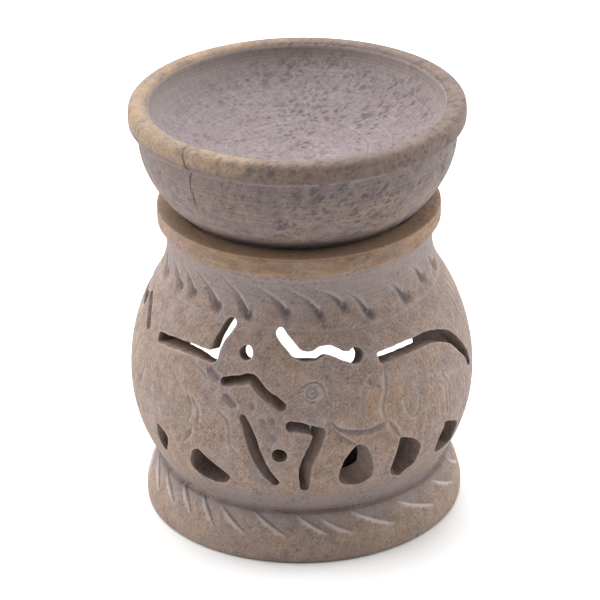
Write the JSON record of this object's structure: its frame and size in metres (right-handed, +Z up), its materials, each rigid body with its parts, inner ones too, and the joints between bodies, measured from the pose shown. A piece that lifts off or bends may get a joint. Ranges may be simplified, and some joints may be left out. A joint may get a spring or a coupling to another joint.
{
  "type": "essential oil burner",
  "caption": "Turned and pierced soapstone burner with a frieze of walking elephants, a lift-off bowl for scented oil and a tea light that slides out of the door at the back.",
  "frame": {"origin": "centre of the flat underside of the pot's foot", "axes": "+Z up along the turning axis, -Y out of the front with the elephants, +Y out of the candle door"},
  "size_m": [0.08, 0.0784, 0.1],
  "materials": {
    "pot_stone": "matt soapstone, brown grey with pinkish and purple grey mottling, hand-carved",
    "dish_stone": "matt soapstone, purple grey with dark speckles, fine lathe rings and a tan rim",
    "cup_aluminium": "bright pressed foil",
    "wax": "white paraffin wax, slightly translucent",
    "wick_cotton": "waxed braided cotton, unlit",
    "sustainer_steel": "tinned sheet"
  },
  "bodies": {
    "pot": {"pot": "pot_stone"},
    "dish": {"dish": "dish_stone"},
    "tea_light": {"tea_light_cup": "cup_aluminium", "tea_light_wax": "wax", "wick": "wick_cotton", "wick_sustainer": "sustainer_steel"}
  },
  "joints": [
    {"name": "dish_lift", "type": "slide", "parent": "pot", "child": "dish", "axis": [0, 0, 1], "range_m": [0, 0.05]},
    {"name": "tea_light_slide", "type": "slide", "parent": "pot", "child": "tea_light", "axis": [0, 1, 0], "range_m": [0, 0.065]}
  ]
}
